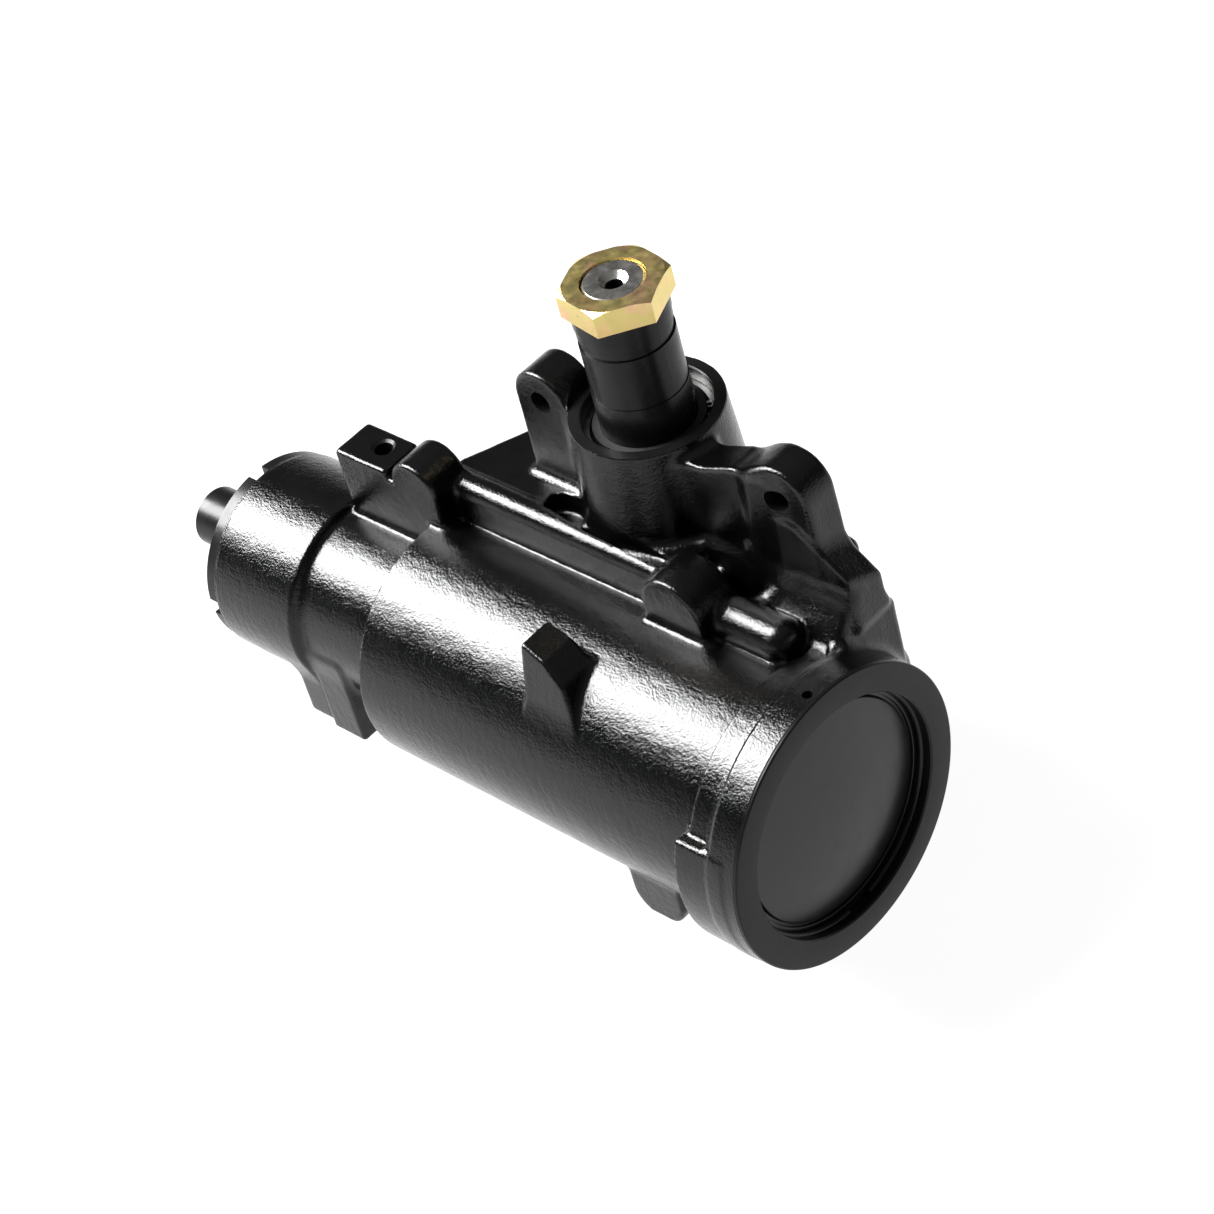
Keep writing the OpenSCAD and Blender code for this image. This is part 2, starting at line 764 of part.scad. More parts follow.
module adjuster_plug() {
    color(satin) in_frame() difference() {
        xcyl(-167.2, plug_thread_x1, 29.9);
        xcyl(-168, -150, 15.6);
        xcyl(-151, -140, 14.5);
        xcyl(-141, -137, 12.2);
        xcyl(-164.1, -162.5, 16.9);
        // O-ring groove at the inner end
        xring(-143.4, -140.6, 31, 28.3);
        // Shallow dish and pin-spanner holes in the outer face
        xring(-168, -166.2, 25, 18.5);
        for (a = [45:90:315])
            translate([-168, worm_y, 0]) rotate([a, 0, 0]) translate([0, 0, 21.8])
                rotate([0, 90, 0]) cylinder(h = 7, r = 2.6);
    }
}

module adjuster_plug_seal() {
    color(rubber) in_frame() xtorus(-142, 29.25, 0.9);
}

lock_notches = 4;

module adjuster_lock_ring() {
    color(satin) in_frame() difference() {
        xring(-165.9, -161.6, 36.6, 30);
        for (i = [0:lock_notches - 1])
            translate([-167, worm_y, 0]) rotate([i * 360 / lock_notches, 0, 0])
                translate([0, -3.2, 32.6]) cube([7, 6.4, 6]);
    }
}

module stub_needle_bearing() {
    color(ground) in_frame() xring(-149.5, -141.4, 14.47, stub_journal_r + 0.06);
}

module stub_shaft_seal() {
    color(rubber) in_frame() xring(-157.8, -150.6, 15.57, stub_journal_r + 0.06);
}

module stub_dust_seal() {
    color(rubber) in_frame() xring(-162.2, -158.2, 15.57, stub_journal_r + 0.06);
}

module stub_retaining_ring() {
    color(steel) in_frame() difference() {
        xring(-163.9, -162.7, 16.8, 13.6);
        translate([-165, worm_y - 1.5, 5]) cube([3, 3, 15]);
    }
}

module port_seats() {
    color(brass) in_frame() for (x = PORT_X) difference() {
        union() {
            ycyl(x, port_z, port_seat_y - 2, port_seat_y + 1, 2.95);
            translate([x, port_seat_y + eps, port_z]) rotate([-90, 0, 0]) cylinder(h = 5, r1 = 5.5, r2 = 3);
        }
        ycyl(x, port_z, port_seat_y - 4, port_face_y, 1.6);
    }
}

housing();
end_plug();
end_plug_seal();
end_plug_retaining_ring();
side_cover();
side_cover_gasket();
side_cover_bolts();
side_cover_bushing();
preload_adjuster_screw();
adjuster_lock_nut();
sector_shaft();
shaft_nut();
shaft_lock_washer();
sector_needle_bearing();
sector_pressure_seal();
sector_backup_washer();
sector_dust_seal();
sector_retaining_ring();
rack_piston();
piston_ring();
rack_piston_plug();
recirculating_balls();
ball_return_guide();
ball_guide_clamp();
ball_guide_screws();
worm();
torsion_bar();
worm_pin();
valve_body();
valve_body_rings();
spool_valve();
stub_shaft();
lower_thrust_bearing();
upper_thrust_bearing();
adjuster_plug();
adjuster_plug_seal();
adjuster_lock_ring();
stub_needle_bearing();
stub_shaft_seal();
stub_dust_seal();
stub_retaining_ring();
port_seats();
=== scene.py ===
"""Looks of the recirculating-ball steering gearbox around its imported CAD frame.

Shapes are first written in millimetres in the case frame: x along the worm towards the end
plug, y from the worm towards the sector shaft, z up the sector shaft, with z = 0 at the worm
axis. to_row() turns them into the row frame, in metres.
"""
import json
import math

import bmesh
import bpy
import numpy as np
from mathutils import Matrix, Vector


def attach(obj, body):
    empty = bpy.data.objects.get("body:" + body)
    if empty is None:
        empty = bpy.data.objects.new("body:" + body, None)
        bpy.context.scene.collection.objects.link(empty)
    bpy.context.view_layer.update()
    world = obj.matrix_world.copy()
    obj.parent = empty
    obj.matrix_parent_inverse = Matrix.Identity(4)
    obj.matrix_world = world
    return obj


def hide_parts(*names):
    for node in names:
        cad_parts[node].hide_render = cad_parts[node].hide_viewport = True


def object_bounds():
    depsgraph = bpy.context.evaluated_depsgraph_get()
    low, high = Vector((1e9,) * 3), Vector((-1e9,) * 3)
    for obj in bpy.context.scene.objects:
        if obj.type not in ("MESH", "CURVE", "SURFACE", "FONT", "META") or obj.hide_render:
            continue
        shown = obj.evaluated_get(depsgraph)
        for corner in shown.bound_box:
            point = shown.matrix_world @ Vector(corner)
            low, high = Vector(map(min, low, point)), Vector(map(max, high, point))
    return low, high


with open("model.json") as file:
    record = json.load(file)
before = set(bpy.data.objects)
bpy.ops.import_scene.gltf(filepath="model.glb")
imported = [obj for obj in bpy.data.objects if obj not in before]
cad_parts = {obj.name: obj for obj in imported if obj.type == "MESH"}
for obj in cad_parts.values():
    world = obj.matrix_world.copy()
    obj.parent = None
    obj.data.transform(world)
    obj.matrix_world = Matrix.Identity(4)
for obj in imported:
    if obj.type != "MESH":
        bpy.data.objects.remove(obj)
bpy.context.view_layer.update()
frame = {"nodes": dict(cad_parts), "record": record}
nodes = frame["nodes"]

# Sizes in millimetres, in the case frame
SEAT_H = 106.0              # from the worm axis up to the row frame's origin, the arm seat
WORM = (-50.0, 0.0)         # y and z of the worm axis
SECTOR = (0, 0)             # x and y of the sector shaft
BORE_R = 40                 # piston bore
MOUTH_R = 43                # mouth of the bore, around the end plug
BARREL_R, BARREL_X0 = 46.4, -75
NECK_R = 34
VALVE_CASE_R = 37.3
END_FLANGE_R = 53.5
END_FACE_X = 106.4
CASE_X0 = -161.4            # open end of the valve case
LOCK_RING_R = 30.6          # thread of the adjuster plug, with its chamfer
VALVE_BORE_R = 27
CHAMBER_R = 50
COVER_Z = -50.0             # joint face of the side cover
COVER_BOLTS = ((52.5, 42), (52.5, 138), (46.0, 225), (46.0, 315))   # radius, angle
COVER_LOBE_R = 13
BOSS_R_LOW, BOSS_R_TOP, BOSS_TOP = 29.6, 26.9, 94.5
SEAL_POCKET_R = 22.5
EAR_X = (16 - 52.3, 16 + 52.3)
EAR_HOLE_Z = 92.6
EAR_BACK = 1.1              # rear face of the ears
EAR_HOLE_R = 4.25
BRACKET_FRONT = -45.6       # front face of the bracket block and its arch
BRACKET_HOLE = (-103, -35.7)
FLANGE_HOLE = (101.9, -50)
PORT_X = (-123.5, -101.5)
PORT_Z = -16.0


def to_row(points):
    """Case frame in millimetres to row frame in metres."""
    out = np.array(points, dtype=np.float64) * 0.001
    out[:, 2] -= SEAT_H * 0.001
    return out


# ---- Distance fields -----------------------------------------------------------------------
# Each takes p = (x, y, z) arrays and gives the distance to a surface, negative inside.


def hypot(a, b):
    """Length of the vector with these two parts."""
    return np.sqrt(a * a + b * b)


def join(a, b, r=0.0):
    """Union of two fields with a fillet of radius r."""
    if r <= 0:
        return np.minimum(a, b)
    u, v = np.maximum(r - a, 0), np.maximum(r - b, 0)
    return np.maximum(r, np.minimum(a, b)) - hypot(u, v)


def carve(a, b, r=0.0):
    """a without b, with the new edge rounded to radius r."""
    if r <= 0:
        return np.maximum(a, -b)
    u, v = np.maximum(r + a, 0), np.maximum(r - b, 0)
    return np.minimum(-r, np.maximum(a, -b)) + hypot(u, v)


def meet(a, b, e=0.0):
    """Where both fields are inside, with the edge rounded to radius e."""
    u, v = a + e, b + e
    return np.minimum(np.maximum(u, v), 0) + hypot(np.maximum(u, 0), np.maximum(v, 0)) - e


def span(a, lo, hi):
    """Slab from lo to hi along one coordinate."""
    return np.abs(a - (lo + hi) / 2) - (hi - lo) / 2


def drum(p, axis, centre, lo, hi, r, e=0.8, r_hi=None):
    """Cylinder or cone along an axis; centre gives the two other coordinates."""
    b, c = (p[i] for i in range(3) if i != axis)
    radial = hypot(b - centre[0], c - centre[1])
    if r_hi is None:
        side = radial - r
    else:
        k = (r_hi - r) / (hi - lo)
        side = (radial - r - k * (p[axis] - lo)) / math.sqrt(1 + k * k)
    return meet(side, span(p[axis], lo, hi), e)


def block(p, lo, hi, e=1.0):
    """Box from corner lo to corner hi, with its edges rounded to radius e."""
    q = [span(p[i], lo[i], hi[i]) + e for i in range(3)]
    out = sum(np.maximum(a, 0) ** 2 for a in q)
    return np.sqrt(out) + np.minimum(np.maximum(np.maximum(q[0], q[1]), q[2]), 0) - e


def inset(outline, e):
    """The polygon moved inwards by e on every side."""
    pts = np.array(outline, float)
    if np.sum(pts[:, 0] * np.roll(pts[:, 1], -1) - np.roll(pts[:, 0], -1) * pts[:, 1]) < 0:
        pts = pts[::-1]
    moved = []
    for i in range(len(pts)):
        a, b, c = pts[i - 1], pts[i], pts[(i + 1) % len(pts)]
        n1 = np.array([-(b - a)[1], (b - a)[0]]) / np.linalg.norm(b - a)
        n2 = np.array([-(c - b)[1], (c - b)[0]]) / np.linalg.norm(c - b)
        moved.append(b + e * (n1 + n2) / (1 + n1 @ n2))
    return np.array(moved)


def polygon(u, v, pts):
    """Signed distance to a closed polygon."""
    best = np.full(u.shape, 1e9, u.dtype)
    inside = np.zeros(u.shape, bool)
    for i in range(len(pts)):
        (ax, ay), (bx, by) = pts[i - 1], pts[i]
        ex, ey = bx - ax, by - ay
        wx, wy = u - ax, v - ay
        t = np.clip((wx * ex + wy * ey) / (ex * ex + ey * ey), 0, 1)
        best = np.minimum(best, (wx - ex * t) ** 2 + (wy - ey * t) ** 2)
        if ey != 0:
            crosses = (ay > v) != (by > v)
            inside ^= crosses & (u < ex * (v - ay) / ey + ax)
    return np.where(inside, -1, 1) * np.sqrt(best)


def sheet(p, axis, outline, lo, hi, e=1.0):
    """Outline in the plane across the axis, given thickness from lo to hi, edges rounded."""
    u, v = (p[i] for i in range(3) if i != axis)
    return round_out(polygon(u, v, inset(outline, e)), span(p[axis], lo + e, hi - e), e)


def round_out(a, b, e):
    """Where both fields are inside, grown by e with a rounded edge."""
    return np.minimum(np.maximum(a, b), 0) + hypot(np.maximum(a, 0), np.maximum(b, 0)) - e


def arch(p, xc, zc, r, foot, lo, hi, e=1.2, spread=0.0):
    """Plate square to Y with a round top; spread widens it towards its foot."""
    drop = p[2] - np.clip(p[2], min(foot, zc), max(foot, zc))
    wide = r + spread * np.clip(zc - p[2], 0, None)
    return meet(hypot(p[0] - xc, drop) - wide, span(p[1], lo, hi), e)


def rod(p, a, b, r):
    """Round-ended rod from a to b."""
    ab = [b[i] - a[i] for i in range(3)]
    t = sum((p[i] - a[i]) * ab[i] for i in range(3)) / sum(c * c for c in ab)
    t = np.clip(t, 0, 1)
    return np.sqrt(sum((p[i] - a[i] - ab[i] * t) ** 2 for i in range(3))) - r


def waves(p, length, seed):
    """Smooth wavy noise between about -1 and 1, with roughly that wavelength."""
    rng = np.random.default_rng(seed)
    total = 0
    for _ in range(7):
        k = rng.normal(size=3)
        k *= 2 * math.pi / (length * rng.uniform(0.7, 1.6)) / np.linalg.norm(k)
        total = total + np.sin(p[0] * k[0] + p[1] * k[1] + p[2] * k[2] + rng.uniform(0, 6.28))
    return total / 3.0


# ---- The casting ---------------------------------------------------------------------------

def polar(r, degrees):
    """x and y of a point at a radius and an angle from the sector shaft."""
    return r * math.cos(math.radians(degrees)), r * math.sin(math.radians(degrees))


def cover_outline(p):
    """Outline of the side cover's flange, with a lobe at each bolt."""
    d = hypot(p[0], p[1]) - CHAMBER_R
    for r, a in COVER_BOLTS:
        x, y = polar(r, a)
        t = np.clip((p[0] * x + p[1] * y) / (x * x + y * y), 0, 1)
        d = join(d, hypot(p[0] - x * t, p[1] - y * t) - COVER_LOBE_R, 6)
    return d


def barrel(p):
    """Piston barrel, neck, valve case and end flange."""
    d = drum(p, 0, WORM, BARREL_X0, 96, BARREL_R, 0.9)
    d = join(d, drum(p, 0, WORM, -124, -70, NECK_R, 1), 2)
    d = join(d, drum(p, 0, WORM, -170, -120, VALVE_CASE_R, 1.4), 3.2)
    # The end flange is stepped on its upper side and thick on its lower side
    d = join(d, drum(p, 0, WORM, 82, 100, 49.4, 0.6), 1.4)
    d = join(d, drum(p, 0, WORM, 91, 100, 52, 0.6), 1.4)
    d = join(d, drum(p, 0, WORM, 93.8, 112, END_FLANGE_R, 0.8), 1.2)
    low_side = np.maximum(p[2] - 20.5, p[1] + 45)
    low = meet(drum(p, 0, WORM, 79.6, 100, END_FLANGE_R, 0.8), low_side, 1.2)
    return join(d, low, 1.2)


def bolt_tower(p, angle):
    """Stepped boss that holds one of the side cover's long bolts."""
    centre = polar(COVER_BOLTS[0][0], angle)
    tower = drum(p, 2, centre, COVER_Z, -9, COVER_LOBE_R, 2.5)
    tower = join(tower, drum(p, 2, centre, COVER_Z, 2, 10.5, 2), 2)
    return join(tower, drum(p, 2, polar(50, angle), COVER_Z, 21, 8, 2.5), 2)


def sector_chamber(p):
    """Sector chamber, the cover's flange and bolt towers, and the deck over the chamber."""
    y, z = p[1], p[2]
    chamber = drum(p, 2, SECTOR, COVER_Z - 5, 30, CHAMBER_R, 2)
    upper = meet(drum(p, 2, SECTOR, 10, 41, 44.5, 3), -38 - y, 3)
    dome = meet(drum(p, 2, SECTOR, 14, 54, 52, 3, 26), -16 - y, 3)
    case = join(chamber, join(upper, dome, 3))
    case = join(case, meet(cover_outline(p), span(z, COVER_Z - 5, COVER_Z + 14), 2), 5)
    for _, angle in COVER_BOLTS[:2]:
        case = join(case, bolt_tower(p, angle), 4)
    deck = sheet(p, 2, [(-80, -34), (-78, -22.6), (-67.2, 0.4), (-56, 20), (-38, 36), (-14, 39),
                        (2, 28), (24, 20), (50, 16), (70, 6), (81, -2), (83, -15), (30, -15.5),
                        (26, -34)], 36, 58, 2.2)
    case = join(case, deck, 4)
    wall = sheet(p, 2, [(54, 14), (72, 8), (86, -4), (90, -20), (56, -22)], 10, 44, 4)
    case = join(case, wall, 6)
    flank = sheet(p, 0, [(-31, 0), (-31, 39), (-15.5, 59.5), (-12, 61), (5, 45), (5, 0)],
                  61, 92.5, 3)
    return join(case, flank, 3)


def gallery_rib(p):
    """Rounded rib of the oil gallery, and the lower rib that goes on from it."""
    x, y, z = p
    high = hypot(y + 31.3, z - np.clip(z, 36, 55.4)) - 5.6
    low = hypot(y + 30.6, z - np.clip(z, 36, 47.6)) - 8.1
    return join(meet(high, span(x, -84, 34), 3), meet(low, span(x, 26, 80), 6), 3)


def cut_channel(p, d):
    """d with the channel between rib and boss cut out, and the channel's cross ribs added."""
    pocket = sheet(p, 2, [(-36, -22), (-32, -19.3), (-14, -17), (-12, -27), (-31, -29.6)],
                   50, 70, 2.2)
    d = carve(d, pocket, 1.0)
    channel = sheet(p, 2, [(-54, -24.4), (-28, -27.5), (-12, -26), (26, -26), (26, -33),
                           (-12, -32)], 51.5, 70, 0.8)
    d = carve(d, channel, 1.0)
    d = join(d, block(p, (-16.5, -28.5, 48), (-1, -21.5, 56.5), 1.2), 1.5)
    return join(d, block(p, (4, -31, 48), (25, -23.5, 55.5), 1.2), 1.5)


def ears(p):
    """Two mounting ears, with the web and the foot of the right one."""
    left_x, right_x = EAR_X
    left = arch(p, left_x, EAR_HOLE_Z, 12, 50, -14.4, EAR_BACK, 1.4, 0.02)
    web = sheet(p, 1, [(14, 46), (14, 88), (34, 91), (47, 96), (58, 98), (66, 98), (66, 46)],
                -12.8, EAR_BACK, 1.6)
    right = join(arch(p, right_x, 92.4, 12, 50, -13.2, EAR_BACK, 1.6, 0.03), web, 8)
    foot = sheet(p, 1, [(66, 48), (66, 84), (79.6, 83), (92.4, 70), (92.4, 48)], -14, EAR_BACK, 1.0)
    slope = (p[2] - 75.8 + 0.77 * (p[0] - 81.6) + 0.45 * (p[1] + 14)) / 1.34
    right = join(right, meet(foot, slope, 1.4), 3)
    return join(left, right)


def bracket(p):
    """Block with the bracket hole, and the arch that stands beside it."""
    d = join(block(p, (-118.5, BRACKET_FRONT, 5), (-93, -28, 62.5), 1.6),
             arch(p, -79, 59.5, 11, 10, BRACKET_FRONT, -29, 1.6))
    return join(d, block(p, (-110, BRACKET_FRONT, 5), (-76, -30, 59), 1.6))


def lug(p):
    """Lug with a sloping front, low on the barrel."""
    side = [(3.4, 20), (2.5, 54), (13, 50.4), (21.2, 43.8), (26.6, 30), (26.6, 20)]
    front = (-p[1] - 85.3 + (p[2] - 30) * 0.252) / 1.031
    return meet(sheet(p, 1, side, -90, -66, 1.2), front, 1.0)


def valve_case_foot(p):
    """Foot under the valve case, in two steps."""
    return join(block(p, (-133, -82.6, -41), (-117, -50, -3), 3.0),
                block(p, (-118.5, -84, -41), (-102, -50, -3), 1.4), 0.6)


def ports(p):
    """Pad with the round bosses of the two hydraulic ports."""
    d = block(p, (-137.5, -50, -31), (-87.5, -9.4, -1), 3)
    for x in PORT_X:
        d = join(d, drum(p, 1, (x, PORT_Z), -30, -7, 12, 0.8), 1.5)
    return d


def casting(p):
    """The whole outside of the housing, before any machining."""
    d = join(barrel(p), sector_chamber(p), 5)
    d = join(d, gallery_rib(p), 1.6)
    d = cut_channel(p, d)
    d = join(d, drum(p, 2, SECTOR, 46, BOSS_TOP + 0.4, BOSS_R_LOW, 0.9, BOSS_R_TOP), 3.5)
    d = join(d, ears(p), 4.5)
    d = join(d, bracket(p), 2.4)
    # Low ridges in the recess between the boss, the rib and the right ear
    for a, b, r in (((30, -25, 46), (40, -12, 50), 3.2), ((56, -25, 46), (64, -12, 54), 4.2),
                    ((50, -12.5, 62), (67, -12.5, 57), 3.0)):
        d = join(d, rod(p, a, b, r), 3)
    # Arch on the rib
    d = join(d, arch(p, 38.5, 53.5, 13.5, 30, -44, -26, 1.6), 3)
    d = join(d, lug(p), 2.0)
    d = join(d, valve_case_foot(p), 3)
    # Foot under the barrel: an arch upside down
    d = join(d, arch((p[0], p[1], -p[2]), 42.5, 41, 11.5, 10, -85, -70, 1.4), 2.5)
    d = join(d, ports(p), 4)
    # Slight unevenness of a sand casting, up to the machined end face
    rough = np.clip((103 - p[0]) / 4, 0, 1)
    return d + rough * (0.035 * waves(p, 10, 3) + 0.02 * waves(p, 4, 5))


# ---- From a field to a mesh ----------------------------------------------------------------


def sample(field, lo, hi, h, coarse=4.0):
    """Field values on a dense grid: exact near the surface, only the sign elsewhere."""
    k = max(1, round(coarse / h))
    cell = k * h
    n = np.maximum(1, np.ceil((np.array(hi, float) - lo) / cell).astype(int))
    centres = [lo[i] + cell * (np.arange(n[i]) + 0.5) for i in range(3)]
    grid = np.meshgrid(*centres, indexing="ij")
    rough = field(tuple(g.astype(np.float32) for g in grid))
    dense = np.repeat(np.repeat(np.repeat(np.sign(rough), k, 0), k, 1), k, 2).astype(np.float32)
    near = np.argwhere(np.abs(rough) < cell * 0.9 + 1.5)
    offset = np.stack(np.meshgrid(*[np.arange(k)] * 3, indexing="ij"), -1).reshape(-1, 3)
    for start in range(0, len(near), 20000):
        idx = (near[start:start + 20000, None, :] * k + offset).reshape(-1, 3)
        pts = (idx + 0.5) * h + lo
        val = field(tuple(pts[:, i].astype(np.float32) for i in range(3)))
        dense[idx[:, 0], idx[:, 1], idx[:, 2]] = val
    return dense


def gradient(field, v, step=0.2):
    """Gradient of the field at the points v."""
    g = np.empty_like(v)
    for i in range(3):
        e = np.zeros(3)
        e[i] = step
        g[:, i] = field(tuple((v + e).T)) - field(tuple((v - e).T))
    return g / (2 * step)


def surface(field, lo, hi, h):
    """Quad mesh of the field's zero surface, its vertices pulled onto the surface."""
    lo = np.array(lo, float)
    a = sample(field, lo, hi, h)
    inside = a < 0
    corners = [(i, j, k) for i in (0, 1) for j in (0, 1) for k in (0, 1)]
    shape = np.array(a.shape) - 1

    def view(arr, c):
        return arr[c[0]:c[0] + shape[0], c[1]:c[1] + shape[1], c[2]:c[2] + shape[2]]

    count = sum(view(inside, c).astype(np.int8) for c in corners)
    active = (count > 0) & (count < 8)
    cells = np.argwhere(active)
    total = np.zeros((len(cells), 3))
    hits = np.zeros(len(cells))
    for c in corners:
        for axis in range(3):
            if c[axis]:
                continue
            e = list(c)
            e[axis] = 1
            va = a[tuple((cells + c).T)]
            vb = a[tuple((cells + e).T)]
            cross = (va < 0) != (vb < 0)
            t = np.where(cross, va / np.where(cross, va - vb, 1), 0)
            at = np.array(c, float) + np.zeros((len(cells), 3))
            at[:, axis] += t
            total += at * cross[:, None]
            hits += cross
    verts = (cells + total / hits[:, None] + 0.5) * h + lo
    number = np.full(active.shape, -1, np.int32)
    number[tuple(cells.T)] = np.arange(len(cells))
    quads = []
    for axis in range(3):
        u, w = (axis + 1) % 3, (axis + 2) % 3
        lo_in = np.take(inside, range(a.shape[axis] - 1), axis)
        hi_in = np.take(inside, range(1, a.shape[axis]), axis)
        edges = np.argwhere(lo_in != hi_in)
        edges = edges[(edges[:, u] > 0) & (edges[:, w] > 0)
                      & (edges[:, u] < shape[u]) & (edges[:, w] < shape[w])]
        flip = lo_in[tuple(edges.T)]
        ring = []
        for du, dw in ((1, 1), (0, 1), (0, 0), (1, 0)):
            q = edges.copy()
            q[:, u] -= du
            q[:, w] -= dw
            ring.append(number[tuple(q.T)])
        ring = np.stack(ring, 1)
        ring[~flip] = ring[~flip][:, ::-1]
        quads.append(ring)
    for _ in range(3):
        g = gradient(field, verts)
        d = field(tuple(verts.T))
        g2 = np.maximum((g * g).sum(1), 0.3)
        verts -= np.clip(d / g2, -h / 2, h / 2)[:, None] * g
    return verts, np.concatenate(quads)


def add_mesh(name, verts, faces):
    """New object from vertices in metres."""
    mesh = bpy.data.meshes.new(name)
    mesh.from_pydata([tuple(v) for v in verts], [], [tuple(f) for f in faces])
    mesh.validate()
    mesh.update()
    obj = bpy.data.objects.new(name, mesh)
    bpy.context.scene.collection.objects.link(obj)
    return obj


def round_corners(points, steps=5):
    """Profile points (a, r, radius) with each corner turned into an arc of its radius."""
    out = []
    for i, (a, r, rad) in enumerate(points):
        here = np.array([a, r], float)
        if rad <= 0 or i in (0, len(points) - 1):
            out.append(here)
            continue
        before = np.array(points[i - 1][:2], float) - here
        after = np.array(points[i + 1][:2], float) - here
        nb, na = np.linalg.norm(before), np.linalg.norm(after)
        before, after = before / nb, after / na
        half = math.acos(max(-1, min(1, before @ after))) / 2
        if half < 0.02 or half > 1.55:
            out.append(here)
            continue
        cut = min(rad / math.tan(half), nb * 0.48, na * 0.48)
        rad = cut * math.tan(half)
        centre = here + (before + after) / np.linalg.norm(before + after) * rad / math.sin(half)
        p0, p1 = here + before * cut - centre, here + after * cut - centre
        a0, a1 = math.atan2(p0[1], p0[0]), math.atan2(p1[1], p1[0])
        turn = (a1 - a0 + math.pi) % (2 * math.pi) - math.pi
        for s in range(steps + 1):
            t = a0 + turn * s / steps
            out.append(centre + rad * np.array([math.cos(t), math.sin(t)]))
    return out


def lathe(name, profile, axis=0, centre=WORM, steps=160, closed=False):
    """Solid turned about an axis from (along, radius, corner radius) points."""
    pts = round_corners(profile)
    if closed:
        pts.append(pts[0])
    rows, verts = [], []
    for a, r in pts:
        if r < 1e-6:
            rows.append([len(verts)] * steps)
            verts.append((a, 0.0, 0.0))
        else:
            rows.append(list(range(len(verts), len(verts) + steps)))
            for s in range(steps):
                t = 2 * math.pi * s / steps
                verts.append((a, r * math.cos(t), r * math.sin(t)))
    if closed:
        for s in range(steps):
            rows[-1][s] = rows[0][s]
        verts = verts[:len(verts) - steps]
    faces = []
    for up, down in zip(rows, rows[1:]):
        for s in range(steps):
            n = (s + 1) % steps
            ring = [up[s], down[s], down[n], up[n]]
            face = [v for i, v in enumerate(ring) if v != ring[i - 1]]
            if len(face) > 2:
                faces.append(face)
    v = np.array(verts)
    if axis == 0:
        v = np.stack([v[:, 0], v[:, 1] + centre[0], v[:, 2] + centre[1]], 1)
    elif axis == 1:
        v = np.stack([v[:, 2] + centre[0], v[:, 0], v[:, 1] + centre[1]], 1)
    else:
        v = np.stack([v[:, 1] + centre[0], v[:, 2] + centre[1], v[:, 0]], 1)
    obj = add_mesh(name, to_row(v), faces)
    fix_normals(obj)
    return obj


def fix_normals(obj):
    """Merges doubled vertices and turns every face outwards."""
    bm = bmesh.new()
    bm.from_mesh(obj.data)
    bmesh.ops.remove_doubles(bm, verts=bm.verts, dist=1e-8)
    bmesh.ops.recalc_face_normals(bm, faces=bm.faces)
    bm.to_mesh(obj.data)
    bm.free()


def subtract(obj, cutter):
    """Cuts the cutter's volume out of obj and removes the cutter."""
    mod = obj.modifiers.new("cut", "BOOLEAN")
    mod.operation = "DIFFERENCE"
    mod.solver = "MANIFOLD"
    mod.object = cutter
    dg = bpy.context.evaluated_depsgraph_get()
    mesh = bpy.data.meshes.new_from_object(obj.evaluated_get(dg))
    obj.modifiers.clear()
    old = obj.data
    obj.data = mesh
    bpy.data.meshes.remove(old)
    bpy.data.objects.remove(cutter)


def shade(obj, degrees=30):
    """Smooth shading that stays sharp at edges steeper than this."""
    mesh = obj.data
    mesh.polygons.foreach_set("use_smooth", [True] * len(mesh.polygons))
    mesh.set_sharp_from_angle(angle=math.radians(degrees))


# ---- Materials -----------------------------------------------------------------------------


class Nodes:
    """Writes one material's node tree; each method adds a node and returns it."""

    def __init__(self, name):
        self.mat = bpy.data.materials.new(name)
        self.mat.use_nodes = True
        self.tree = self.mat.node_tree
        self.tree.nodes.clear()
        self.out = self.add("ShaderNodeOutputMaterial")
        self.bsdf = self.add("ShaderNodeBsdfPrincipled")
        self.link(self.bsdf, "BSDF", self.out, "Surface")
        self.coords = self.add("ShaderNodeTexCoord")

    def add(self, kind, **values):
        n = self.tree.nodes.new(kind)
        for k, v in values.items():
            setattr(n, k, v)
        return n

    def link(self, a, out, b, into):
        self.tree.links.new(a.outputs[out], b.inputs[into])

    def noise(self, scale, detail=2.0, rough=0.5, stretch=None):
        n = self.add("ShaderNodeTexNoise")
        n.inputs["Scale"].default_value = scale
        n.inputs["Detail"].default_value = detail
        n.inputs["Roughness"].default_value = rough
        if stretch:
            m = self.add("ShaderNodeMapping")
            m.inputs["Scale"].default_value = stretch
            self.link(self.coords, "Object", m, "Vector")
            self.link(m, "Vector", n, "Vector")
        else:
            self.link(self.coords, "Object", n, "Vector")
        return n

    def ramp(self, source, out, stops):
        r = self.add("ShaderNodeValToRGB")
        self.link(source, out, r, "Fac")
        els = r.color_ramp.elements
        els[0].position, els[0].color = stops[0][0], (*stops[0][1], 1)
        els[1].position, els[1].color = stops[-1][0], (*stops[-1][1], 1)
        for pos, col in stops[1:-1]:
            els.new(pos).color = (*col, 1)
        return r

    def remap(self, source, out, lo, hi, a=0.0, b=1.0):
        m = self.add("ShaderNodeMapRange")
        m.inputs["From Min"].default_value = a
        m.inputs["From Max"].default_value = b
        m.inputs["To Min"].default_value = lo
        m.inputs["To Max"].default_value = hi
        self.link(source, out, m, "Value")
        return m

    def bump(self, source, out, distance, strength=1.0, under=None):
        b = self.add("ShaderNodeBump")
        b.inputs["Distance"].default_value = distance
        b.inputs["Strength"].default_value = strength
        self.link(source, out, b, "Height")
        if under:
            self.link(under, "Normal", b, "Normal")
        return b


def grey(v):
    """Neutral colour of that value."""
    return (v, v, v)


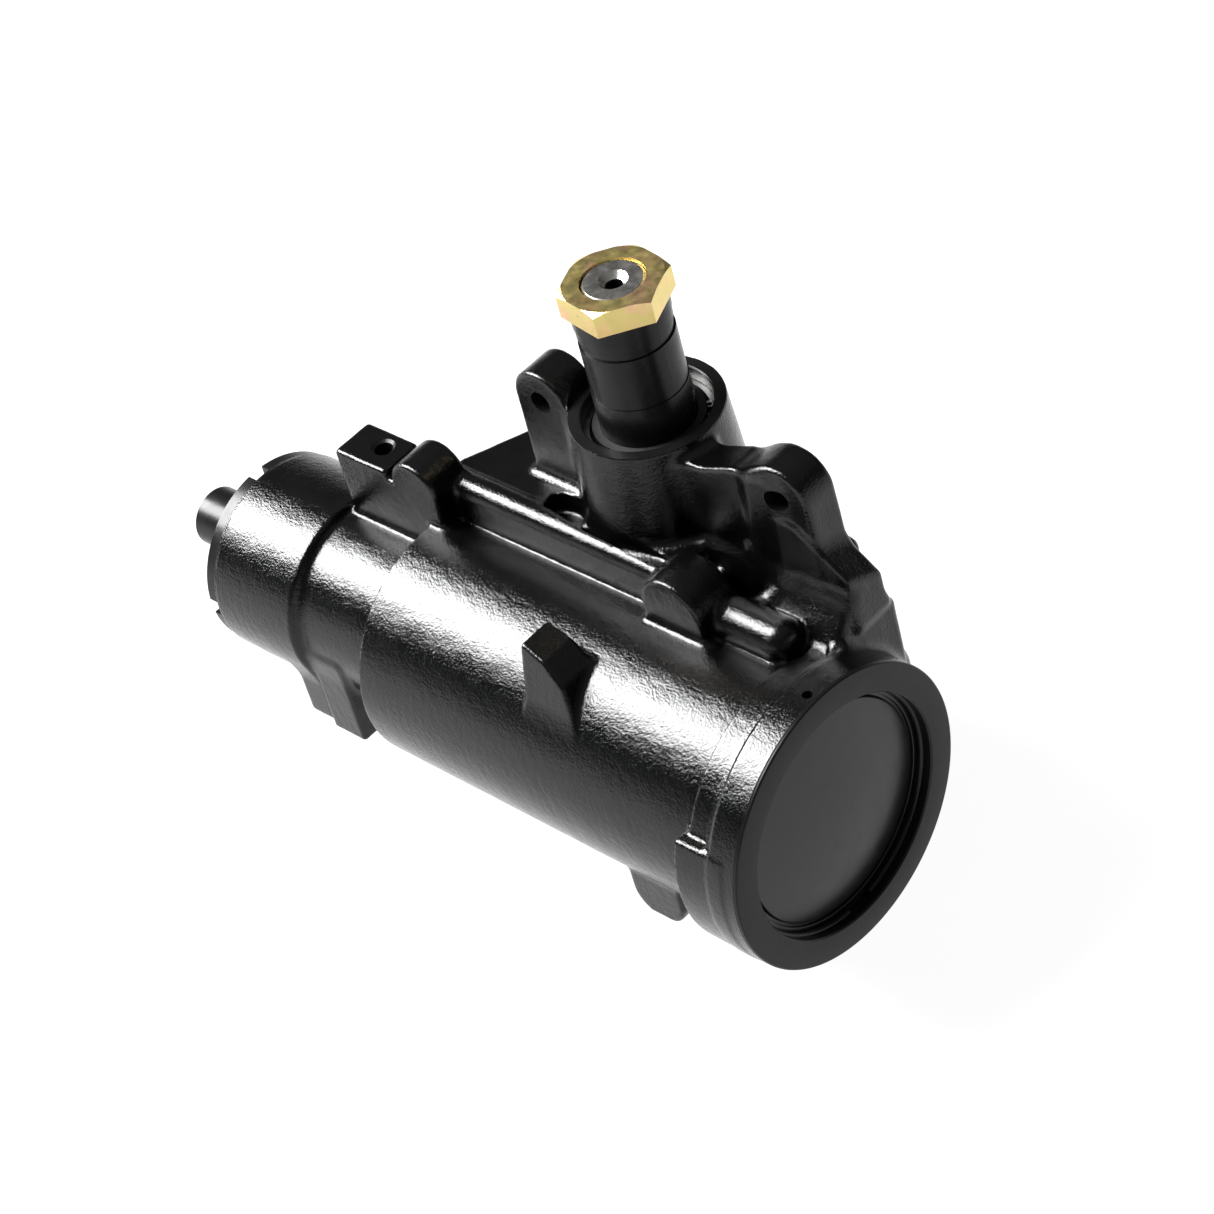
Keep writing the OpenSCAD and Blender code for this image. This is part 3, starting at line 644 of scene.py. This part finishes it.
def cast_paint():
    """Gloss black paint over sand-cast skin, with a pebbled grain in two sizes."""
    m = Nodes("cast_paint")
    m.bsdf.inputs["IOR"].default_value = 1.5
    tint = m.ramp(m.noise(90, 3), "Fac",
                  [(0.35, (0.0016, 0.0016, 0.0018)), (0.7, (0.003, 0.003, 0.0032))])
    m.link(tint, "Color", m.bsdf, "Base Color")
    rough = m.remap(m.noise(320, 3, 0.6), "Fac", 0.10, 0.17, 0.3, 0.7)
    m.link(rough, "Result", m.bsdf, "Roughness")
    broad = m.bump(m.noise(450, 2, 0.5), "Fac", 0.00008)
    pebble = m.bump(m.noise(1150, 3, 0.6), "Fac", 0.00018, under=broad)
    m.link(pebble, "Normal", m.bsdf, "Normal")
    return m.mat


def smooth_paint(name="machined_paint", lo=0.26, hi=0.36, ior=1.38):
    """Black paint over a machined face; lo and hi bound its roughness."""
    m = Nodes(name)
    m.bsdf.inputs["IOR"].default_value = ior
    tint = m.ramp(m.noise(60, 3), "Fac",
                  [(0.3, (0.006, 0.006, 0.0064)), (0.75, (0.010, 0.010, 0.0104))])
    m.link(tint, "Color", m.bsdf, "Base Color")
    rough = m.remap(m.noise(150, 4, 0.6), "Fac", lo, hi, 0.3, 0.7)
    m.link(rough, "Result", m.bsdf, "Roughness")
    m.link(m.bump(m.noise(420, 2), "Fac", 0.00003), "Normal", m.bsdf, "Normal")
    return m.mat


def steel(name, colour, lo, hi, stretch=None, scale=300, bump=0.00002):
    """Bare metal of one colour; lo and hi bound its roughness."""
    m = Nodes(name)
    m.bsdf.inputs["Metallic"].default_value = 1.0
    n = m.noise(scale, 4, 0.6, stretch)
    dark = tuple(c * 0.82 for c in colour)
    m.link(m.ramp(n, "Fac", [(0.3, dark), (0.7, colour)]), "Color", m.bsdf, "Base Color")
    m.link(m.remap(n, "Fac", lo, hi, 0.3, 0.7), "Result", m.bsdf, "Roughness")
    m.link(m.bump(n, "Fac", bump), "Normal", m.bsdf, "Normal")
    return m.mat


def zinc():
    """Yellow chromate over zinc, with the faint pink and green of its film."""
    m = Nodes("yellow_zinc")
    m.bsdf.inputs["Metallic"].default_value = 1.0
    film = m.ramp(m.noise(55, 2.5, 0.55), "Fac", [
        (0.28, (0.74, 0.50, 0.22)), (0.42, (0.80, 0.60, 0.30)), (0.52, (0.72, 0.62, 0.26)),
        (0.62, (0.82, 0.56, 0.34)), (0.75, (0.70, 0.60, 0.34))])
    m.link(film, "Color", m.bsdf, "Base Color")
    rough = m.remap(m.noise(260, 4, 0.6), "Fac", 0.26, 0.40, 0.3, 0.7)
    m.link(rough, "Result", m.bsdf, "Roughness")
    m.link(m.bump(m.noise(900, 3), "Fac", 0.00002), "Normal", m.bsdf, "Normal")
    return m.mat


def matt(name, colour, lo=0.5, hi=0.7, scale=400, bump=0.00003):
    """Rubber, paper or plastic; lo and hi bound its roughness."""
    m = Nodes(name)
    dark = tuple(c * 0.7 for c in colour)
    tint = m.ramp(m.noise(scale / 3, 3), "Fac", [(0.3, dark), (0.7, colour)])
    m.link(tint, "Color", m.bsdf, "Base Color")
    m.link(m.remap(m.noise(scale, 3), "Fac", lo, hi, 0.3, 0.7), "Result", m.bsdf, "Roughness")
    m.link(m.bump(m.noise(scale * 2, 3), "Fac", bump), "Normal", m.bsdf, "Normal")
    return m.mat


CAST = cast_paint()
PAINT = smooth_paint()
SATIN = smooth_paint("satin_black", 0.22, 0.32)
SHAFT = smooth_paint("dark_shaft", 0.24, 0.34)
BRIGHT = steel("turned_steel", (0.62, 0.61, 0.58), 0.22, 0.34)
GROUND = steel("ground_steel", (0.46, 0.46, 0.47), 0.2, 0.3, (1, 8, 8))
ZINC = zinc()
PLUG = smooth_paint("plug_paint", 0.28, 0.36, 1.6)
RING = steel("ring_steel", (0.34, 0.34, 0.33), 0.3, 0.42)
BRASS = steel("brass", (0.75, 0.56, 0.26), 0.25, 0.38)
RUBBER = matt("rubber", grey(0.018))
GASKET = matt("gasket", grey(0.05), 0.6, 0.8)
PTFE = matt("filled_ptfe", (0.14, 0.10, 0.07), 0.45, 0.6)
BY_SLOT = {
    "black_paint": PAINT, "satin_black": SATIN, "satin_shaft": SHAFT, "bright_steel": BRIGHT,
    "bearing_steel": GROUND, "zinc_yellow": ZINC, "brass": BRASS, "rubber": RUBBER,
    "gasket": GASKET, "ptfe": PTFE,
}
for part in frame["record"]["subparts"]:
    obj = nodes[part["node"]]
    obj.data.materials.clear()
    obj.data.materials.append(BY_SLOT[part["material_slot"]])

for name in ("sector_retaining_ring", "stub_retaining_ring"):
    nodes[name].data.materials[0] = RING
# The end face of the sector shaft is bare turned steel
shaft = nodes["sector_shaft"].data
shaft.materials.append(BRIGHT)
END_FACE_H, END_FACE_R = 0.035, 0.0108    # metres, from the arm seat and from the axis
for face in shaft.polygons:
    if face.center.z > END_FACE_H and face.center.xy.length < END_FACE_R:
        face.material_index = 1

# ---- Housing -------------------------------------------------------------------------------

voxel = 0.85
verts, quads = surface(casting, (-174, -108, -58), (114, 66, 110), voxel)
housing = add_mesh("case_casting", to_row(verts), quads)


def hole(axis, centre, r, lo, hi, steps):
    """Plain drill from lo to hi."""
    return lathe("cut", [(lo, 0, 0), (lo, r, 0), (hi, r, 0), (hi, 0, 0)], axis, centre, steps)


cutters = [
    # Piston bore, its mouth with the ring groove, and the end face with its rounded edges
    lathe("cut", [(-62, 0, 0), (-62, BORE_R, 0), (92, BORE_R, 0.3), (92, MOUTH_R, 0.3),
                  (100.7, MOUTH_R, 0.2), (100.7, 44.5, 0), (103.1, 44.5, 0), (103.1, MOUTH_R, 0.2),
                  (105.9, MOUTH_R, 0.2), (END_FACE_X, 43.6, 0.2), (END_FACE_X, 53.49, 1.0),
                  (104.9, 53.49, 0), (104.6, 53.7, 0), (104.6, 60, 0), (120, 60, 0), (120, 0, 0)],
          steps=256),
    # Turned end of the valve case, its thread and the valve bore
    lathe("cut", [(-180, 0, 0), (-180, 50, 0), (-159.8, 50, 0), (-159.8, 37.5, 0),
                  (-160.2, 37.28, 0), (CASE_X0, 37.28, 0.8), (CASE_X0, LOCK_RING_R, 0.2),
                  (-160.8, 30.2, 0), (-138, 30.2, 0), (-138, VALVE_BORE_R, 0.2),
                  (-79.6, VALVE_BORE_R, 0), (-79.6, 12.6, 0), (-61, 12.6, 0), (-61, 0, 0)],
          steps=192),
    # Sector chamber, the shaft's bore, the seal pocket with its ring groove, and the boss's top
    lathe("cut", [(BOSS_TOP, 0, 0), (-60, 0, 0), (-60, 38, 0), (24, 38, 0), (24, 21, 0),
                  (64, 21, 0), (64, SEAL_POCKET_R, 0), (87.5, SEAL_POCKET_R, 0.1), (87.5, 24.2, 0),
                  (89.3, 24.2, 0), (89.3, SEAL_POCKET_R, 0.1), (BOSS_TOP - 0.5, SEAL_POCKET_R, 0.1),
                  (BOSS_TOP, 23.0, 0.1), (BOSS_TOP, 27.3, 0), (112, 27.3, 0), (112, 0, 0)],
          axis=2, centre=SECTOR, steps=192),
]
for x in EAR_X:
    cutters.append(hole(1, (x, EAR_HOLE_Z), EAR_HOLE_R, -30, 12, 64))
cutters.append(lathe("cut", [(48.5, 0, 0), (48.5, 3.4, 0), (61.6, 3.4, 0), (62.4, 4.5, 0),
                             (80, 4.5, 0), (80, 0, 0)], 2, BRACKET_HOLE, 64))
cutters.append(hole(2, FLANGE_HOLE, 1.75, 44, 70, 48))
for x in PORT_X:
    cutters.append(lathe("cut", [(-40, 0, 0), (-40, 3, 0), (-24, 3, 0), (-24, 6.2, 0),
                                 (-18, 6.2, 0), (-18, 8, 0), (-8.8, 8, 0), (-8, 8.8, 0),
                                 (-8, 14, 0), (0, 14, 0), (0, 0, 0)], 1, (x, PORT_Z), 64))
for r, a in COVER_BOLTS:
    # The two bolts further out go into the towers, so their holes are deeper
    cutters.append(hole(2, polar(r, a), 5, -60, -25 if r > 50 else -38.5, 48))
# Everything below the joint face of the side cover
slab_pts = [(x, y, z) for z in (-70.0, COVER_Z) for y in (-90.0, 90.0) for x in (-90.0, 90.0)]
slab_faces = [(0, 2, 3, 1), (4, 5, 7, 6), (0, 1, 5, 4), (2, 6, 7, 3), (0, 4, 6, 2), (1, 3, 7, 5)]
cutters.append(add_mesh("cut", to_row(np.array(slab_pts)), slab_faces))
for cutter in cutters:
    subtract(housing, cutter)

housing.data.materials.clear()
housing.data.materials.append(CAST)
housing.data.materials.append(PAINT)
n_poly = len(housing.data.polygons)
centre = np.empty(n_poly * 3)
housing.data.polygons.foreach_get("center", centre)
centre = centre.reshape(-1, 3) * 1000
centre[:, 2] += SEAT_H
off = np.abs(casting(tuple(centre.T)))
# A face off the field's surface was cut by a tool; so was the end flange's face and its edge
smooth = (off > 0.25) | (centre[:, 0] > 104.8)
housing.data.polygons.foreach_set("material_index", smooth.astype(np.int32))
shade(housing, 35)
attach(housing, "gear_case")
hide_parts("housing")

# ---- End plug: the CAD's dome with a rounded edge and a thin groove around it -----------------

DOME_X, DOME_H, DOME_R = 100.6, 3.6, 39
dome = [(DOME_X + DOME_H * (1 - (r / DOME_R) ** 2), r, 0) for r in range(38, -1, -2)]
plug = lathe("end_plug_domed", [(96.4, 0, 0), (96.4, 33, 0), (92.4, 35, 0), (92.4, 42.8, 0.3),
                                (94.6, 42.8, 0), (94.6, 40.2, 0), (98, 40.2, 0), (98, 42.8, 0),
                                (100.5, 42.8, 0.3), (100.5, 40.9, 0.2), (99.3, 40.7, 0),
                                (99.3, 39.7, 0), (100.6, 39.4, 0.7)] + dome, steps=224)
plug.data.materials.append(PLUG)
shade(plug, 30)
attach(plug, "gear_case")
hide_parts("end_plug")

# ---- Light, floor and camera ---------------------------------------------------------------

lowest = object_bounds()[0].z
FLOOR_HALF = 8    # metres
corners = ((-1, -1), (1, -1), (1, 1), (-1, 1))
floor_pts = [(x * FLOOR_HALF, y * FLOOR_HALF, lowest) for x, y in corners]
floor = add_mesh("floor", floor_pts, [(0, 1, 2, 3)])
floor_look = Nodes("floor_white")
floor_look.bsdf.inputs["Base Color"].default_value = (0.12, 0.12, 0.12, 1)
floor_look.bsdf.inputs["Roughness"].default_value = 0.9
floor_look.bsdf.inputs["Emission Color"].default_value = (1, 1, 1, 1)
floor_look.bsdf.inputs["Emission Strength"].default_value = 0.95
floor.data.materials.append(floor_look.mat)

world = bpy.data.worlds.new("studio")
bpy.context.scene.world = world
world.use_nodes = True
tree = world.node_tree
tree.nodes.clear()
coords = tree.nodes.new("ShaderNodeTexCoord")
split = tree.nodes.new("ShaderNodeSeparateXYZ")
ramp = tree.nodes.new("ShaderNodeValToRGB")
sky = tree.nodes.new("ShaderNodeBackground")
out = tree.nodes.new("ShaderNodeOutputWorld")
tree.links.new(coords.outputs["Generated"], split.inputs[0])
tree.links.new(split.outputs["Z"], ramp.inputs["Fac"])
tree.links.new(ramp.outputs["Color"], sky.inputs["Color"])
tree.links.new(sky.outputs[0], out.inputs["Surface"])
stops = ramp.color_ramp.elements
stops[0].position, stops[0].color = 0.0, (0.9, 0.9, 0.9, 1)
stops[1].position, stops[1].color = 1.0, (0.3, 0.3, 0.3, 1)
for pos, v in ((0.1, 0.4), (0.3, 0.08), (0.5, 0.10), (0.66, 0.28)):
    stops.new(pos).color = (v, v, v, 1)


def softbox(name, direction, distance, wide, tall, power, up=(0, 0, 1)):
    """Area light that faces the gearbox from a direction."""
    light = bpy.data.lights.new(name, "AREA")
    light.shape = "RECTANGLE"
    light.size, light.size_y = wide, tall
    light.energy = power
    obj = bpy.data.objects.new(name, light)
    bpy.context.scene.collection.objects.link(obj)
    d = Vector(direction).normalized()
    aim = Vector((-0.03, -0.04, -0.08))
    x_axis = Vector(up).cross(d).normalized()
    y_axis = d.cross(x_axis)
    obj.matrix_world = Matrix.Translation(aim + d * distance) @ Matrix(
        (x_axis, y_axis, d)).transposed().to_4x4()
    return obj


softbox("key", (-0.64, -0.31, 0.70), 1.6, 1.5, 0.85, 115, up=(0, 0.913, 0.407))

cam_data = bpy.data.cameras.new("camera")
cam_data.sensor_width = 36
cam_data.lens = 105.184
cam = bpy.data.objects.new("camera", cam_data)
bpy.context.scene.collection.objects.link(cam)
right = Vector((0.723211, 0.656897, -0.213192))
down = Vector((0.331988, -0.601362, -0.726738))
ahead = Vector((-0.605598, 0.454808, -0.652994))
cam.matrix_world = Matrix.Translation((0.720184, -0.579901, 0.706212)) @ Matrix(
    (right, -down, -ahead)).transposed().to_4x4()
cam_data.clip_start, cam_data.clip_end = 0.05, 50
bpy.context.scene.camera = cam
bpy.context.scene.view_settings.view_transform = "Standard"
bpy.context.scene.view_settings.gamma = 0.86
